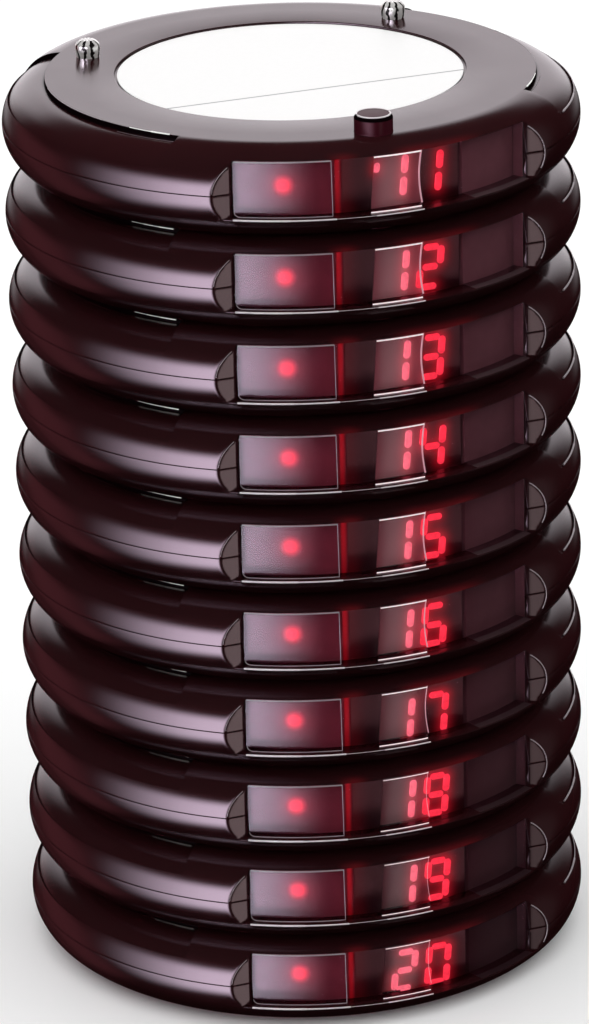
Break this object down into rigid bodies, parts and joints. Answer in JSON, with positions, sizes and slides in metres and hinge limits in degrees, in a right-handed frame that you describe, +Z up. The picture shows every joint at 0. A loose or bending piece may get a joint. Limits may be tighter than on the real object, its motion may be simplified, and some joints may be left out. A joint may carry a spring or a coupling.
{
  "type": "guest pager system",
  "caption": "Stack of round coaster pagers with lit red number displays, front windows, locating posts and charging studs.",
  "frame": {"origin": "centre of the stack's flat underside, on the axis of the pagers", "axes": "+Z up along the stack's axis, -Y towards the windows and displays, +X to the right seen from the front"},
  "size_m": [0.095, 0.094, 0.1547],
  "materials": {
    "case_top": "satin wine-brown moulded ABS, slightly translucent",
    "case_base": "satin wine-brown moulded ABS, slightly translucent",
    "window": "polished red-brown tinted acrylic",
    "label": "white semi-gloss film",
    "contact_chrome": "polished nickel plate",
    "contact_plate": "nickel plate",
    "circuit_board": "green solder mask",
    "display": "dark red filter",
    "light_box": "frosted translucent",
    "lamp": "lit red lens",
    "battery": "foil pouch",
    "motor": "drawn steel can",
    "buzzer": "black moulded case",
    "screw": "zinc plate",
    "weight": "sintered heavy metal",
    "works": "inner pieces as one group"
  },
  "bodies": {
    "pager_11": {"pager_11_upper_shell": "case_top", "pager_11_lower_shell": "case_base", "pager_11_window_lens": "window", "pager_11_label_disc": "label", "pager_11_contact_studs": "contact_chrome", "pager_11_contact_plates": "contact_plate", "pager_11_circuit_board": "circuit_board", "pager_11_digit_display": "display", "pager_11_light_boxes": "light_box", "pager_11_indicator_lamps": "lamp", "pager_11_battery_cell": "battery", "pager_11_vibration_motor": "motor", "pager_11_buzzer": "buzzer", "pager_11_case_screws": "screw"},
    "pager_12": {"pager_12_upper_shell": "case_top", "pager_12_lower_shell": "case_base", "pager_12_window_lens": "window", "pager_12_works": "works"},
    "pager_13": {"pager_13_upper_shell": "case_top", "pager_13_lower_shell": "case_base", "pager_13_window_lens": "window", "pager_13_works": "works"},
    "pager_14": {"pager_14_upper_shell": "case_top", "pager_14_lower_shell": "case_base", "pager_14_window_lens": "window", "pager_14_works": "works"},
    "pager_15": {"pager_15_upper_shell": "case_top", "pager_15_lower_shell": "case_base", "pager_15_window_lens": "window", "pager_15_works": "works"},
    "pager_16": {"pager_16_upper_shell": "case_top", "pager_16_lower_shell": "case_base", "pager_16_window_lens": "window", "pager_16_works": "works"},
    "pager_17": {"pager_17_upper_shell": "case_top", "pager_17_lower_shell": "case_base", "pager_17_window_lens": "window", "pager_17_works": "works"},
    "pager_18": {"pager_18_upper_shell": "case_top", "pager_18_lower_shell": "case_base", "pager_18_window_lens": "window", "pager_18_works": "works"},
    "pager_19": {"pager_19_upper_shell": "case_top", "pager_19_lower_shell": "case_base", "pager_19_window_lens": "window", "pager_19_works": "works"},
    "pager_20": {"pager_20_upper_shell": "case_top", "pager_20_lower_shell": "case_base", "pager_20_window_lens": "window", "pager_20_works": "works"},
    "weight_11": {"pager_11_motor_weight": "weight"},
    "weight_12": {"pager_12_motor_weight": "weight"},
    "weight_13": {"pager_13_motor_weight": "weight"},
    "weight_14": {"pager_14_motor_weight": "weight"},
    "weight_15": {"pager_15_motor_weight": "weight"},
    "weight_16": {"pager_16_motor_weight": "weight"},
    "weight_17": {"pager_17_motor_weight": "weight"},
    "weight_18": {"pager_18_motor_weight": "weight"},
    "weight_19": {"pager_19_motor_weight": "weight"},
    "weight_20": {"pager_20_motor_weight": "weight"}
  },
  "joints": [
    {"name": "lift_19", "type": "slide", "parent": "pager_20", "child": "pager_19", "axis": [0, 0, 1], "range_m": [0, 0.015]},
    {"name": "lift_18", "type": "slide", "parent": "pager_19", "child": "pager_18", "axis": [0, 0, 1], "range_m": [0, 0.015]},
    {"name": "lift_17", "type": "slide", "parent": "pager_18", "child": "pager_17", "axis": [0, 0, 1], "range_m": [0, 0.015]},
    {"name": "lift_16", "type": "slide", "parent": "pager_17", "child": "pager_16", "axis": [0, 0, 1], "range_m": [0, 0.015]},
    {"name": "lift_15", "type": "slide", "parent": "pager_16", "child": "pager_15", "axis": [0, 0, 1], "range_m": [0, 0.015]},
    {"name": "lift_14", "type": "slide", "parent": "pager_15", "child": "pager_14", "axis": [0, 0, 1], "range_m": [0, 0.015]},
    {"name": "lift_13", "type": "slide", "parent": "pager_14", "child": "pager_13", "axis": [0, 0, 1], "range_m": [0, 0.015]},
    {"name": "lift_12", "type": "slide", "parent": "pager_13", "child": "pager_12", "axis": [0, 0, 1], "range_m": [0, 0.015]},
    {"name": "lift_11", "type": "slide", "parent": "pager_12", "child": "pager_11", "axis": [0, 0, 1], "range_m": [0, 0.015]},
    {"name": "spin_11", "type": "hinge", "parent": "pager_11", "child": "weight_11", "pos_m": [-0.004, 0.015, 0.14673], "axis": [1, 0, 0], "continuous": true},
    {"name": "spin_12", "type": "hinge", "parent": "pager_12", "child": "weight_12", "pos_m": [-0.004, 0.015, 0.13153], "axis": [1, 0, 0], "continuous": true},
    {"name": "spin_13", "type": "hinge", "parent": "pager_13", "child": "weight_13", "pos_m": [-0.004, 0.015, 0.11633], "axis": [1, 0, 0], "continuous": true},
    {"name": "spin_14", "type": "hinge", "parent": "pager_14", "child": "weight_14", "pos_m": [-0.004, 0.015, 0.10113], "axis": [1, 0, 0], "continuous": true},
    {"name": "spin_15", "type": "hinge", "parent": "pager_15", "child": "weight_15", "pos_m": [-0.004, 0.015, 0.08593], "axis": [1, 0, 0], "continuous": true},
    {"name": "spin_16", "type": "hinge", "parent": "pager_16", "child": "weight_16", "pos_m": [-0.004, 0.015, 0.07073], "axis": [1, 0, 0], "continuous": true},
    {"name": "spin_17", "type": "hinge", "parent": "pager_17", "child": "weight_17", "pos_m": [-0.004, 0.015, 0.05553], "axis": [1, 0, 0], "continuous": true},
    {"name": "spin_18", "type": "hinge", "parent": "pager_18", "child": "weight_18", "pos_m": [-0.004, 0.015, 0.04033], "axis": [1, 0, 0], "continuous": true},
    {"name": "spin_19", "type": "hinge", "parent": "pager_19", "child": "weight_19", "pos_m": [-0.004, 0.015, 0.02513], "axis": [1, 0, 0], "continuous": true},
    {"name": "spin_20", "type": "hinge", "parent": "pager_20", "child": "weight_20", "pos_m": [-0.004, 0.015, 0.00993], "axis": [1, 0, 0], "continuous": true}
  ]
}
